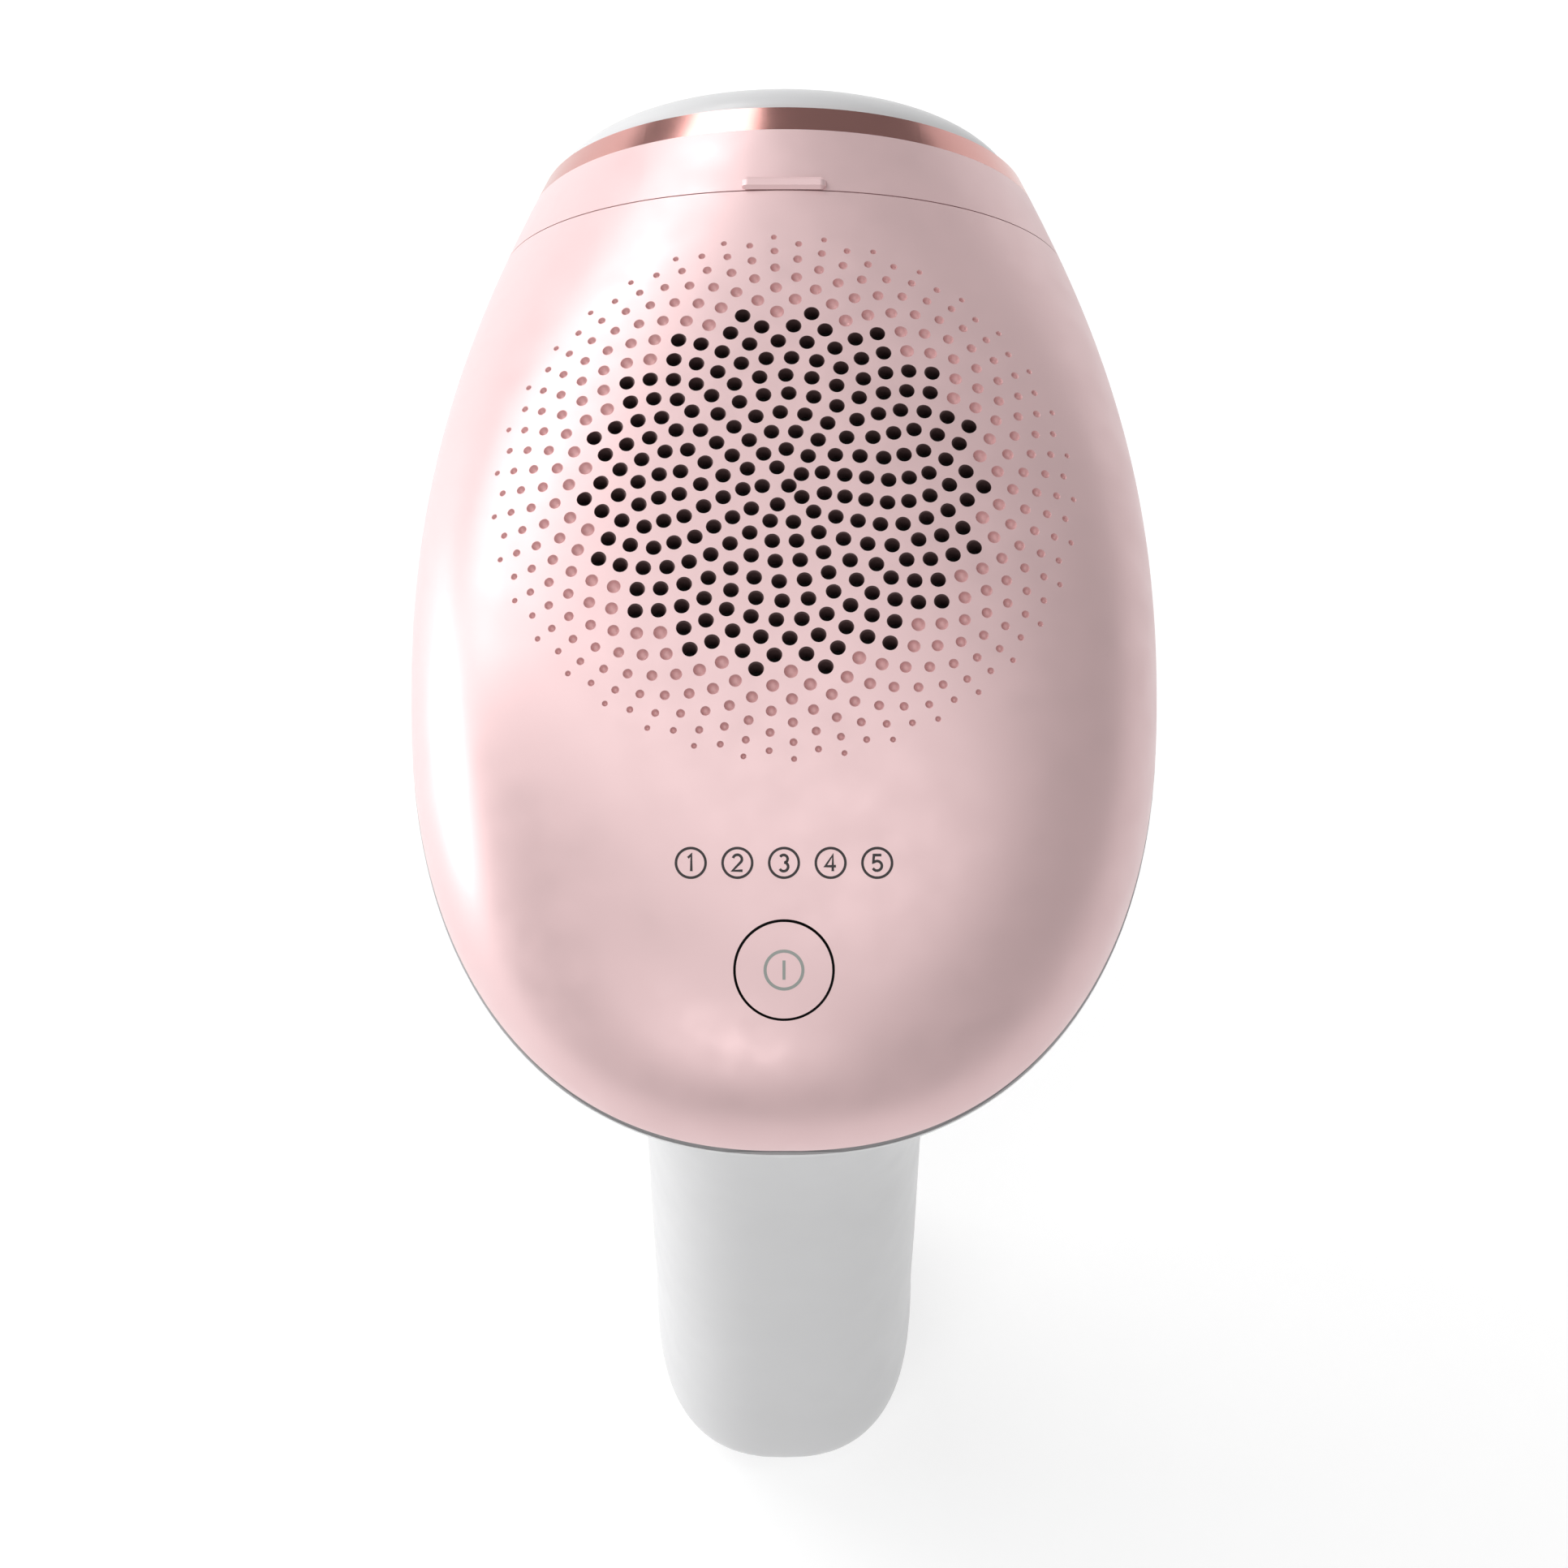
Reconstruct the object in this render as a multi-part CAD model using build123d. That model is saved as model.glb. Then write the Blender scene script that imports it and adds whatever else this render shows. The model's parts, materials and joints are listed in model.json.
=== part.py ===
"""Hand-held pulsed-light hair remover: an egg-shaped head on an oval handle, built as separate pieces.

Millimetres, +Z up. The origin is the middle of the handle's lower end, where the power inlet opens.
The handle stands up along +Z, the treatment window faces +Y, and X = 0 is the plane of symmetry.
Most sections of the head are placed by "reach", the distance along +Y from the head's rear tip.
"""
from build123d import *
import math
import os

# ---- Head ---------------------------------------------------------------------------------------
TIP_Y = -23.1            # rear tip of the head's rim
SPLIT_Z = 115.0          # height of the rim where top shell and handle shells meet
HEAD_HALF_WIDTH = 42.1
WIDEST_REACH = 55.0      # reach of the widest section
REAR_POWER = 2.3         # roundness of the rim behind the widest section
FRONT_LENGTH = 101.5
FRONT_POWER = 2.12
CROWN_HEIGHT = 22.5      # top of the dome above the rim
CROWN_REACH = 57.0
CROWN_FALL = 0.00225     # parabolic fall of the dome ahead of the crown
RIM_FALL = 0.0047        # parabolic fall of the rim ahead of RIM_FLAT_REACH
RIM_FLAT_REACH = 69.0
KEEL_DEPTH = 33.0
KEEL_REACH = 62.0
KEEL_POWER = 1.6
KEEL_RISE = 0.18
DOME_POWER = 2.0         # section roundness at both ends of the dome
DOME_FULLNESS = 0.8      # extra section power at the middle of the dome
DOME_LENGTH = 120.0
BOWL_POWER = 2.4
BOWL_TUCK = 0.8           # how much lower that power is at the rear tip
BOWL_FULL_REACH = 96.0
VIEW_SLOPE = 0.404       # how much the widest line gains in reach as the rim falls
WALL = 2.2
SEAM_REACH = 110.4       # where the pull-off attachment meets the head
TIP_START = 0.02

# ---- Handle -------------------------------------------------------------------------------------
HANDLE_SWEEP = 0.096     # forward lean of the handle's axis, per mm of height
HANDLE_HALF_WIDTH = 14.3
HANDLE_HALF_DEPTH = 18.9
HANDLE_TAPER = 0.025
HANDLE_POWER = 2.5
HANDLE_END_ROUND = 7.0
FLARE_START = 60.0       # height where the handle starts to widen into the head
FLARE_SIZE = 22.0
FLARE_RUN = 50.0
FLARE_POWER = 2.6
FLARE_SIDE, FLARE_FRONT, FLARE_BACK = 0.7, 1.0, 0.2
HANDLE_TOP = 106.0

# ---- Split line gasket --------------------------------------------------------------------------
GASKET_THICK = 1.2
GASKET_RECESS = 0.35
GASKET_WIDTH = 1.7

# ---- Vent: rings of round holes over the fan -----------------------------------------------------
VENT_REACH = 71.7
VENT_TILT = 5.7          # degrees that the vent and the fan lean forward
CORE_RINGS = [(1, 0.55), (5, 2.45), (11, 4.65), (16, 7.0), (21, 9.4), (26, 11.85), (30, 14.2)]
OUTER_RING_HOLES = 36
FIRST_OUTER_RADIUS = 16.5
FIRST_OUTER_STEP = 2.2
STEP_SHRINK = 0.915
THROUGH_RINGS = 3        # whole rings; a fourth has every other hole
HOLE_RADIUS = 0.78
CORE_TWIST = 1.9         # radians of turn from one core ring to the next

# ---- Power button and intensity lights ----------------------------------------------------------
BUTTON_REACH = 15.7
BUTTON_TILT = 22.0
BUTTON_RADIUS = 5.4
BUTTON_GAP = 0.3
LIGHT_COUNT = 5
LIGHT_PITCH = 5.22
LIGHT_OFFSET = 12.0      # from the button's axis up the dome
BOARD_THICK = 1.6

# ---- Attachment ---------------------------------------------------------------------------------
ATTACH_GAP = 0.15
RING_REACH = 118.9
BEZEL_REACH = 122.0
FACE_REACH = 126.0
WINDOW_DROP = -13.0      # centre of the window, from the rim's height at the rear
WINDOW_WIDTH = 30.0
WINDOW_HEIGHT = 14.0
NOSE_WIDTH = 45.0
NOSE_HEIGHT = 25.0
NOSE_END = 118.2
CONTACT_PROUD = 1.2
SLIDE_GAP = 0.3

# ---- Fan ----------------------------------------------------------------------------------------
FAN_DEPTH = 5.6          # top of the fan below the dome
FAN_HEIGHT = 11.0
FAN_FRAME_RADIUS = 25.0
FAN_BORE_RADIUS = 23.2
ROTOR_RADIUS = 22.4
HUB_RADIUS = 8.5
BLADE_COUNT = 9
SHAFT_RADIUS = 1.0

# ---- Flash button on the handle's front ----------------------------------------------------------
TRIGGER_Z = 70.0
TRIGGER_HALF_WIDTH = 6.2
TRIGGER_HALF_HEIGHT = 10.5
TRIGGER_PROUD = 1.5
TRIGGER_TRAVEL = 1.2

# ---- Handle's contents --------------------------------------------------------------------------
CAP_RADIUS = 11.0
CAP_LENGTH = 56.0
CAP_BOTTOM = 26.0
CAP_Y = -3.5             # from the handle's axis
INLET_RADIUS = 5.6
INLET_LENGTH = 15.0
RECESS_RADIUS = 4.0
RECESS_DEPTH = 5.0
SOCKET_RADIUS = 2.75
SOCKET_DEPTH = 12.0

ALONG_Z = (Align.CENTER, Align.CENTER, Align.MIN)


# ---- Curves of the head -------------------------------------------------------------------------
def rim_height(reach):
    """Height of the widest line above SPLIT_Z; it falls towards the window."""
    return -RIM_FALL * max(0.0, reach - RIM_FLAT_REACH) ** 2


def half_width(reach):
    """Half the head's width at a reach."""
    level = reach + VIEW_SLOPE * rim_height(reach)
    if level < WIDEST_REACH:
        short = ((WIDEST_REACH - level) / WIDEST_REACH) ** REAR_POWER
        return HEAD_HALF_WIDTH * (1 - short) ** (1 / REAR_POWER)
    return HEAD_HALF_WIDTH * (1 - ((level - WIDEST_REACH) / FRONT_LENGTH) ** FRONT_POWER)


def crown_height(reach):
    """Height of the dome's centre line above SPLIT_Z."""
    if reach < CROWN_REACH:
        return CROWN_HEIGHT * math.sqrt(1 - ((CROWN_REACH - reach) / CROWN_REACH) ** 2)
    return CROWN_HEIGHT - CROWN_FALL * (reach - CROWN_REACH) ** 2


def keel_height(reach):
    """Height of the underside's centre line above SPLIT_Z (negative)."""
    short = max(0.0, (KEEL_REACH - reach) / KEEL_REACH) ** KEEL_POWER
    depth = KEEL_DEPTH * (1 - short) ** (1 / KEEL_POWER)
    return rim_height(reach) - depth + KEEL_RISE * max(0.0, reach - KEEL_REACH)


def bowl_power(reach):
    """Superellipse power of the underside's section, which tucks in under the rim at the rear."""
    behind = max(0.0, 1 - reach / BOWL_FULL_REACH)
    return BOWL_POWER - BOWL_TUCK * behind


def dome_power(reach):
    """Superellipse power of the dome's section at a reach."""
    return DOME_POWER + DOME_FULLNESS * math.sin(math.pi * reach / DOME_LENGTH) ** 2


def half_oval(half_x, half_up, power, place, count=21):
    """Spline over half a superellipse; place turns (x, up) into a point."""
    points = []
    for i in range(count):
        turn = math.pi * i / (count - 1)
        across = abs(math.cos(turn)) / half_x
        upward = abs(math.sin(turn)) / abs(half_up)
        size = (across ** power + upward ** power) ** (-1 / power)
        side = half_x if i == 0 else -half_x if i == count - 1 else size * math.cos(turn)
        rise = 0.0 if i in (0, count - 1) else size * math.sin(turn) * math.copysign(1, half_up)
        points.append(place(side, rise))
    return Edge.make_spline(points)


def dome_arc(reach, inset):
    """Upper half section of the head, from rim to rim over the crown."""
    rim = SPLIT_Z + rim_height(reach)
    height = crown_height(reach) - rim_height(reach) - inset

    def place(x, up):
        return Vector(x, TIP_Y + reach, rim + up)

    return half_oval(half_width(reach) - inset, height, dome_power(reach), place)


def bowl_arc(reach, inset, drop=0.0):
    """Lower half section of the head, one gasket thickness below the dome; drop lowers its ends."""
    rim = SPLIT_Z + rim_height(reach) - GASKET_THICK - drop
    depth = keel_height(reach) - rim_height(reach) + inset + drop

    def place(x, up):
        return Vector(x, TIP_Y + reach, rim + up)

    return half_oval(half_width(reach) - inset, depth, bowl_power(reach), place)


def closed(arc, extra):
    """Closes a half section with straight sides of a given extra height and a level line."""
    right, left = arc @ 0, arc @ 1
    if extra == 0:
        return Wire([arc, Edge.make_line(left, right)])
    low_right = Vector(right.X, right.Y, right.Z + extra)
    low_left = Vector(left.X, left.Y, left.Z + extra)
    sides = [Edge.make_line(left, low_left), Edge.make_line(low_left, low_right)]
    return Wire([arc] + sides + [Edge.make_line(low_right, right)])


def head_wire(reach, inset):
    """Whole section of the head, dome, gasket band and bowl."""
    upper = dome_arc(reach, inset)
    lower = bowl_arc(reach, inset)
    return Wire([upper, Edge.make_line(upper @ 1, lower @ 1), lower, Edge.make_line(lower @ 0, upper @ 0)])


def reach_stops(inset, end):
    """Reaches of the lofted sections, closer together towards the rear tip."""
    middle = 60.0
    span = middle - TIP_START
    rear = [TIP_START + span * (1 - math.cos(math.pi / 2 * i / 12)) for i in range(13)]
    stops = rear + [middle + (end - middle) * (i + 1) / 8 for i in range(8)]
    if inset == 0:
        return stops
    return [1.18 * inset] + [reach for reach in stops if reach > 2 * inset + 0.5]


def dome_solid(inset=0.0, extra=0.0, end=SEAM_REACH):
    """The dome from rim to crown; extra carries its sides down past the rim."""
    stops = reach_stops(inset, end)
    return Solid.make_loft([closed(dome_arc(r, inset), -extra) for r in stops])


def bowl_solid(inset=0.0, extra=0.0, end=SEAM_REACH):
    """The head's underside; extra carries its sides up past the rim from just below it."""
    stops = reach_stops(inset, end)
    return Solid.make_loft([closed(bowl_arc(r, inset, extra / 4), extra * 1.25) for r in stops])


def band_wire(reach, inset, extra):
    """Level band between dome and bowl, extra taller above and below."""
    half = half_width(reach) - inset
    top = SPLIT_Z + rim_height(reach) + extra
    bottom = SPLIT_Z + rim_height(reach) - GASKET_THICK - extra
    y = TIP_Y + reach
    corners = [(half, y, top), (-half, y, top), (-half, y, bottom), (half, y, bottom)]
    return Wire([Edge.make_line(corners[i], corners[(i + 1) % 4]) for i in range(4)])


def ring_of_head(inset, start, end):
    """The head's whole form between two reaches."""
    stops = [start + (end - start) * i / 4 for i in range(5)]
    return Solid.make_loft([head_wire(reach, inset) for reach in stops])


def dome_plane(reach, lean):
    """Plane on the dome's centre line whose normal leans by lean degrees towards +Y."""
    angle = math.radians(lean)
    return Plane(
        origin=(0, TIP_Y + reach, SPLIT_Z + crown_height(reach)),
        x_dir=(1, 0, 0),
        z_dir=(0, math.sin(angle), math.cos(angle)),
    )


VENT = dome_plane(VENT_REACH, VENT_TILT)
BUTTON = dome_plane(BUTTON_REACH, -BUTTON_TILT)


# ---- Handle -------------------------------------------------------------------------------------
def handle_centre(height):
    return HANDLE_SWEEP * height


def handle_wire(height, inset, squeeze=0.0):
    """Closed plan section of the handle; squeeze rounds the lower end."""
    flare = FLARE_SIZE * (max(0.0, height - FLARE_START) / FLARE_RUN) ** FLARE_POWER
    shrink = inset + squeeze
    grow = HANDLE_TAPER * height

    def place(x, y):
        return Vector(x, handle_centre(height) + y, height)

    width = HANDLE_HALF_WIDTH + grow + FLARE_SIDE * flare - shrink
    front = HANDLE_HALF_DEPTH + grow + FLARE_FRONT * flare - shrink
    back = HANDLE_HALF_DEPTH + grow + FLARE_BACK * flare - shrink
    return Wire([half_oval(width, front, HANDLE_POWER, place), half_oval(width, -back, HANDLE_POWER, place)])


def handle_solid(inset=0.0):
    """The handle's closed form with its rounded lower end."""
    floor = inset * 1.4
    radius = HANDLE_END_ROUND - inset
    wires = []
    for i in range(7):
        turn = math.radians(10 + 80 * i / 6)
        squeeze = radius * (1 - math.sin(turn))
        wires.append(handle_wire(floor + radius * (1 - math.cos(turn)) * 0.98, inset, squeeze))
    for height in (16.0, 30.0, 45.0, 60.0, 70.0, 80.0, 90.0, 99.0, HANDLE_TOP):
        wires.append(handle_wire(height, inset))
    return Solid.make_loft(wires)


# ---- Small solids -------------------------------------------------------------------------------
def block(x, y, z, width, depth, height):
    """Box centred on a point."""
    return Pos(x, y, z) * Box(width, depth, height)


def disc(plane, radius, bottom, top, x=0.0, y=0.0):
    """Cylinder standing on a plane's normal between two depths."""
    return plane.location * Pos(x, y, bottom) * Cylinder(radius, top - bottom, align=ALONG_Z)


def rounded_bar(width, height, radius, start, end):
    """Rounded rectangle in XZ about the window's centre, run along Y between two reaches."""
    plane = Plane(origin=(0, TIP_Y + start, SPLIT_Z + WINDOW_DROP), x_dir=(-1, 0, 0), z_dir=(0, 1, 0))
    return extrude(plane * RectangleRounded(width, height, radius), end - start)


def oval_bar(half_x, half_z, centre_z, start_y, end_y):
    """Upright oval in XZ run along Y."""
    plane = Plane(origin=(0, start_y, centre_z), x_dir=(-1, 0, 0), z_dir=(0, 1, 0))
    return extrude(plane * Ellipse(half_x, half_z), end_y - start_y)


def coil_spring(radius, wire, height, turns):
    """Helical compression spring along +Z from the origin."""
    path = Helix(height / turns, height, radius)
    profile = Plane(origin=path @ 0, z_dir=path % 0) * Circle(wire / 2)
    return sweep(profile, path, is_frenet=True)


def screw(length, radius=1.1, head=2.1, head_height=1.4):
    """Pan-head screw with its head's underside at the origin and its thread along -Z."""
    cross = Pos(0, 0, head_height) * (Box(2.4, 0.5, 1.4) + Box(0.5, 2.4, 1.4))
    top = fillet(Cylinder(head, head_height, align=ALONG_Z).edges().sort_by(Axis.Z)[-1], 0.5)
    return top - cross + Pos(0, 0, -length) * Cylinder(radius, length, align=ALONG_Z)


# ---- Head pieces --------------------------------------------------------------------------------
def vent_sites():
    """Ring radius and angle of each hole of the vent."""
    sites = []
    for ring, (count, radius) in enumerate(CORE_RINGS):
        for i in range(count):
            sites.append((radius, 2 * math.pi * i / count + CORE_TWIST * ring))
    radius = FIRST_OUTER_RADIUS
    step = FIRST_OUTER_STEP
    for ring in range(THROUGH_RINGS + 1):
        phase = math.radians(7 if ring % 2 == 0 else 2)
        skip = 2 if ring == THROUGH_RINGS else 1
        for i in range(0, OUTER_RING_HOLES, skip):
            sites.append((radius, 2 * math.pi * i / OUTER_RING_HOLES + phase))
        radius += step
        step *= STEP_SHRINK
    return sites


def make_top_shell():
    shell = dome_solid() - dome_solid(WALL, 3.0, SEAM_REACH + 1)
    holes = []
    for radius, angle in vent_sites():
        holes.append(disc(VENT, HOLE_RADIUS, -8, 5, radius * math.cos(angle), radius * math.sin(angle)))
    button_hole = disc(BUTTON, BUTTON_RADIUS + BUTTON_GAP, -6, 4)
    return shell - holes - button_hole


def make_gasket():
    stops = reach_stops(GASKET_RECESS, SEAM_REACH)
    band = Solid.make_loft([band_wire(r, GASKET_RECESS, 0) for r in stops])
    hollow_inset = GASKET_RECESS + GASKET_WIDTH
    stops = reach_stops(hollow_inset, SEAM_REACH + 1)
    return band - Solid.make_loft([band_wire(r, hollow_inset, 1.0) for r in stops])


def make_handle_shells():
    """The white lower head and handle, cut in two along the handle's axis."""
    bowl, handle = bowl_solid(), handle_solid()
    bowl_room = bowl_solid(WALL, 3.0, SEAM_REACH + 1)
    handle_room = handle_solid(WALL)
    bowl_shell = (bowl - bowl_room) - handle
    handle_shell = (handle - handle_room) - bowl_room
    body = bowl_shell + handle_shell
    body = body - Pos(0, 0, -1) * Cylinder(INLET_RADIUS, 12, align=ALONG_Z)
    lean = math.degrees(math.atan(HANDLE_SWEEP))
    half = Rotation(-lean, 0, 0) * Box(200, 200, 500, align=(Align.CENTER, Align.MIN, Align.CENTER))
    return body - half, body & half


def trigger_front():
    """Y of the handle's front surface at the flash button."""
    return handle_centre(TRIGGER_Z) + HANDLE_HALF_DEPTH + HANDLE_TAPER * TRIGGER_Z


def cut_front_shell(shell):
    """Opens the front shell for the flash button and the fan's air slots."""
    front = trigger_front()
    gap = SLIDE_GAP
    hole = oval_bar(TRIGGER_HALF_WIDTH + gap, TRIGGER_HALF_HEIGHT + gap, TRIGGER_Z, front - 8, front + 9)
    slots = []
    for column in range(-4, 5):
        slots.append(block(column * 4.2, TIP_Y + 84, SPLIT_Z - 30, 1.8, 17 - abs(column), 30))
    return shell - hole - slots


def make_button_parts():
    cap = disc(BUTTON, BUTTON_RADIUS, -2.4, 4) & dome_solid()
    plunger = disc(BUTTON, 7.4, -4.6, -3.4) + disc(BUTTON, 3.0, -3.4, -2.4) + disc(BUTTON, 1.6, -7.2, -4.6)
    spring = BUTTON.location * Pos(0, 0, -9.7) * coil_spring(3.4, 0.5, 4.7, 4)
    switch = block(0, 0, -9.0, 4.4, 4.4, 2.0) + Pos(0, 0, -8.0) * Cylinder(1.0, 0.05, align=ALONG_Z)
    return cap, plunger, spring, BUTTON.location * switch


def make_control_board():
    board = block(0, 5.5, -10 - BOARD_THICK / 2, 34, 24, BOARD_THICK)
    for x in (-14.5, 14.5):
        for y in (-4.0, 15.0):
            board -= Pos(x, y, -12) * Cylinder(1.3, 4, align=ALONG_Z)
    return BUTTON.location * board


def light_sites():
    first = -(LIGHT_COUNT - 1) / 2
    return [(first + i) * LIGHT_PITCH for i in range(LIGHT_COUNT)]


def make_intensity_lights():
    lamps = []
    for x in light_sites():
        lamp = block(x, LIGHT_OFFSET, -9.55, 1.6, 0.9, 0.9)
        lamps.append(BUTTON.location * lamp)
    guide = block(0, LIGHT_OFFSET, -7.8, LIGHT_COUNT * LIGHT_PITCH, 3.6, 1.2)
    for x in light_sites():
        guide += Pos(x, LIGHT_OFFSET, -7.4) * Cylinder(1.7, 2.6, align=ALONG_Z)
    for x in (-12.2, 12.2):
        guide += block(x, LIGHT_OFFSET, -9.2, 1.2, 2.4, 1.6)
    return Compound(children=lamps), BUTTON.location * guide


# ---- Fan ----------------------------------------------------------------------------------------
def make_fan_frame():
    base = -FAN_DEPTH - FAN_HEIGHT
    ring = disc(VENT, FAN_FRAME_RADIUS, base, -FAN_DEPTH) - disc(VENT, FAN_BORE_RADIUS, base - 1, 0)
    hub = disc(VENT, HUB_RADIUS, base, base + 1.2)
    struts = []
    for i in range(3):
        strut = Rotation(0, 0, 120 * i + 30) * block(15.8, 0, base + 0.6, 15.6, 2.4, 1.2)
        struts.append(VENT.location * strut)
    ears = []
    for i in range(3):
        angle = math.radians(120 * i + 30)
        spot = (27.2 * math.cos(angle), 27.2 * math.sin(angle))
        ear = disc(VENT, 3.2, base, base + 2.0, *spot) - disc(VENT, FAN_BORE_RADIUS, base - 1, 0)
        ears.append(ear - disc(VENT, 1.3, base - 1, base + 3, *spot))
    return ring + hub + struts + ears


def make_fan_stator():
    base = -FAN_DEPTH - FAN_HEIGHT + 1.2
    core = disc(VENT, 2.4, base, base + 6.6) - disc(VENT, SHAFT_RADIUS + 0.05, base - 1, base + 9)
    for i in range(4):
        arm = Rotation(0, 0, 90 * i) * block(3.9, 0, base + 3.4, 4.4, 2.2, 3.2)
        shoe = Rotation(0, 0, 90 * i) * block(6.2, 0, base + 3.4, 0.8, 5.6, 3.6)
        core += VENT.location * (arm + shoe)
    return core - disc(VENT, SHAFT_RADIUS + 0.05, base - 1, base + 9)


def make_fan_rotor():
    base = -FAN_DEPTH - FAN_HEIGHT
    top = -FAN_DEPTH - 0.6
    cup = disc(VENT, HUB_RADIUS, base + 1.9, top) - disc(VENT, HUB_RADIUS - 1.0, base, top - 1.2)
    cup = fillet(cup.edges().group_by(Axis.Z)[-1], 0.8)
    blades = []
    for i in range(BLADE_COUNT):
        blade = Rotation(38, 0, 0) * Box(ROTOR_RADIUS - HUB_RADIUS + 1.6, 0.9, 11.5)
        place = Rotation(0, 0, 360 * i / BLADE_COUNT) * Pos((ROTOR_RADIUS + HUB_RADIUS) / 2, 0, -11.0)
        blades.append(VENT.location * place * blade)
    sweep_zone = disc(VENT, ROTOR_RADIUS, base + 1.9, top) - disc(VENT, HUB_RADIUS - 0.5, base, 0)
    fan = cup
    for blade in blades:
        fan += blade & sweep_zone
    shaft = disc(VENT, SHAFT_RADIUS, base + 1.4, top - 1.2)
    return fan, shaft


def make_fan_screws():
    base = -FAN_DEPTH - FAN_HEIGHT
    screws = []
    for i in range(3):
        angle = math.radians(120 * i + 30)
        spot = Pos(27.2 * math.cos(angle), 27.2 * math.sin(angle), base + 2.0)
        screws.append(VENT.location * spot * screw(6.0, radius=1.0))
    return Compound(children=screws)


# ---- Lamp and window ----------------------------------------------------------------------------
def make_lamp():
    """Light window, its seal, the reflector trough, the flash tube and what holds it."""
    glass = rounded_bar(WINDOW_WIDTH + 3, WINDOW_HEIGHT + 3, 1.5, 115.2, 117.2)
    seal = rounded_bar(WINDOW_WIDTH + 3, WINDOW_HEIGHT + 3, 1.5, 114.4, 115.2)
    seal -= rounded_bar(WINDOW_WIDTH, WINDOW_HEIGHT, 1.0, 114, 116)
    mid_z = SPLIT_Z + WINDOW_DROP
    half = WINDOW_HEIGHT / 2
    mouth_y = TIP_Y + 114.4
    depth = 15.0
    curve = [Vector(0, mouth_y - depth * (1 - (u / half) ** 2), mid_z + u) for u in
             (-half, -half * 0.6, 0, half * 0.6, half)]
    inner = Wire([Edge.make_spline(curve), Edge.make_line(curve[-1], curve[0])])
    trough_fill = extrude(Face(inner), WINDOW_WIDTH / 2, dir=(1, 0, 0), both=True)
    outer_curve = [Vector(0, p.Y - 0.9 * (1 - abs(p.Z - mid_z) / half * 0.6), mid_z + (p.Z - mid_z) * 1.13)
                   for p in curve]
    outer_curve[0] = Vector(0, mouth_y, outer_curve[0].Z)
    outer_curve[-1] = Vector(0, mouth_y, outer_curve[-1].Z)
    outer = Wire([Edge.make_spline(outer_curve), Edge.make_line(outer_curve[-1], outer_curve[0])])
    trough = extrude(Face(outer), WINDOW_WIDTH / 2 + 0.8, dir=(1, 0, 0), both=True) - trough_fill
    tube_y = mouth_y - depth + 4.6
    tube_axis = Plane(origin=(0, tube_y, mid_z), x_dir=(0, 1, 0), z_dir=(1, 0, 0))

    def along_x(radius, start, end):
        return tube_axis.location * Pos(0, 0, start) * Cylinder(radius, end - start, align=ALONG_Z)

    trough -= along_x(2.9, -30, 30)
    length = 18.0
    tube = along_x(2.4, -length, length) - along_x(1.7, -length + 1, length - 1)
    electrodes = []
    for side in (-1, 1):
        start, end = sorted((side * length, side * (length + 4.0)))
        rod_start, rod_end = sorted((side * (length + 4.0), side * (length + 6)))
        electrodes.append(along_x(2.4, start, end) + along_x(0.7, rod_start, rod_end))
    holders = []
    for side in (-1, 1):
        holder = block(side * 18.0, tube_y, mid_z, 2.6, 5.6, 12.0)
        holders.append(holder - along_x(2.5, -30, 30))
    wire = []
    for i in range(9):
        ring = along_x(2.7, -13.4 + 3.3 * i, -13.0 + 3.3 * i) - along_x(2.4, -40, 40)
        wire.append(ring)
    return glass, seal, trough, tube, Compound(children=electrodes), Compound(children=holders), wire


def make_window_frame():
    """The nose behind the attachment: a flange that closes the head and a box that holds the window."""
    flange = ring_of_head(WALL + 0.1, 107.4, SEAM_REACH)
    nose = rounded_bar(NOSE_WIDTH, NOSE_HEIGHT, 6.0, SEAM_REACH, NOSE_END)
    room = rounded_bar(NOSE_WIDTH - 4, NOSE_HEIGHT - 6, 3.0, 100, 114.2)
    seat = rounded_bar(WINDOW_WIDTH + 3.2, WINDOW_HEIGHT + 3.2, 1.6, 114.2, 117.3)
    opening = rounded_bar(WINDOW_WIDTH, WINDOW_HEIGHT, 1.0, 113, 120)
    frame = flange + nose - room - seat - opening
    for spot in nose_screw_spots():
        frame -= spot * Pos(0, 0, -5) * Cylinder(1.2, 9, align=ALONG_Z)
    return frame


def nose_screw_spots():
    """Two screws above the nose and one at each side, heads on the flange's front."""
    spots = []
    for x, z in ((-15.0, 4.6), (15.0, 4.6), (-26.2, -13.0), (26.2, -13.0)):
        spots.append(Pos(x, TIP_Y + SEAM_REACH, SPLIT_Z + z) * Rotation(-90, 0, 0))
    return spots


def make_nose_screws():
    screws = [spot * screw(5.2, radius=1.1, head=2.0, head_height=1.2) for spot in nose_screw_spots()]
    return Compound(children=screws)


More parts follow.
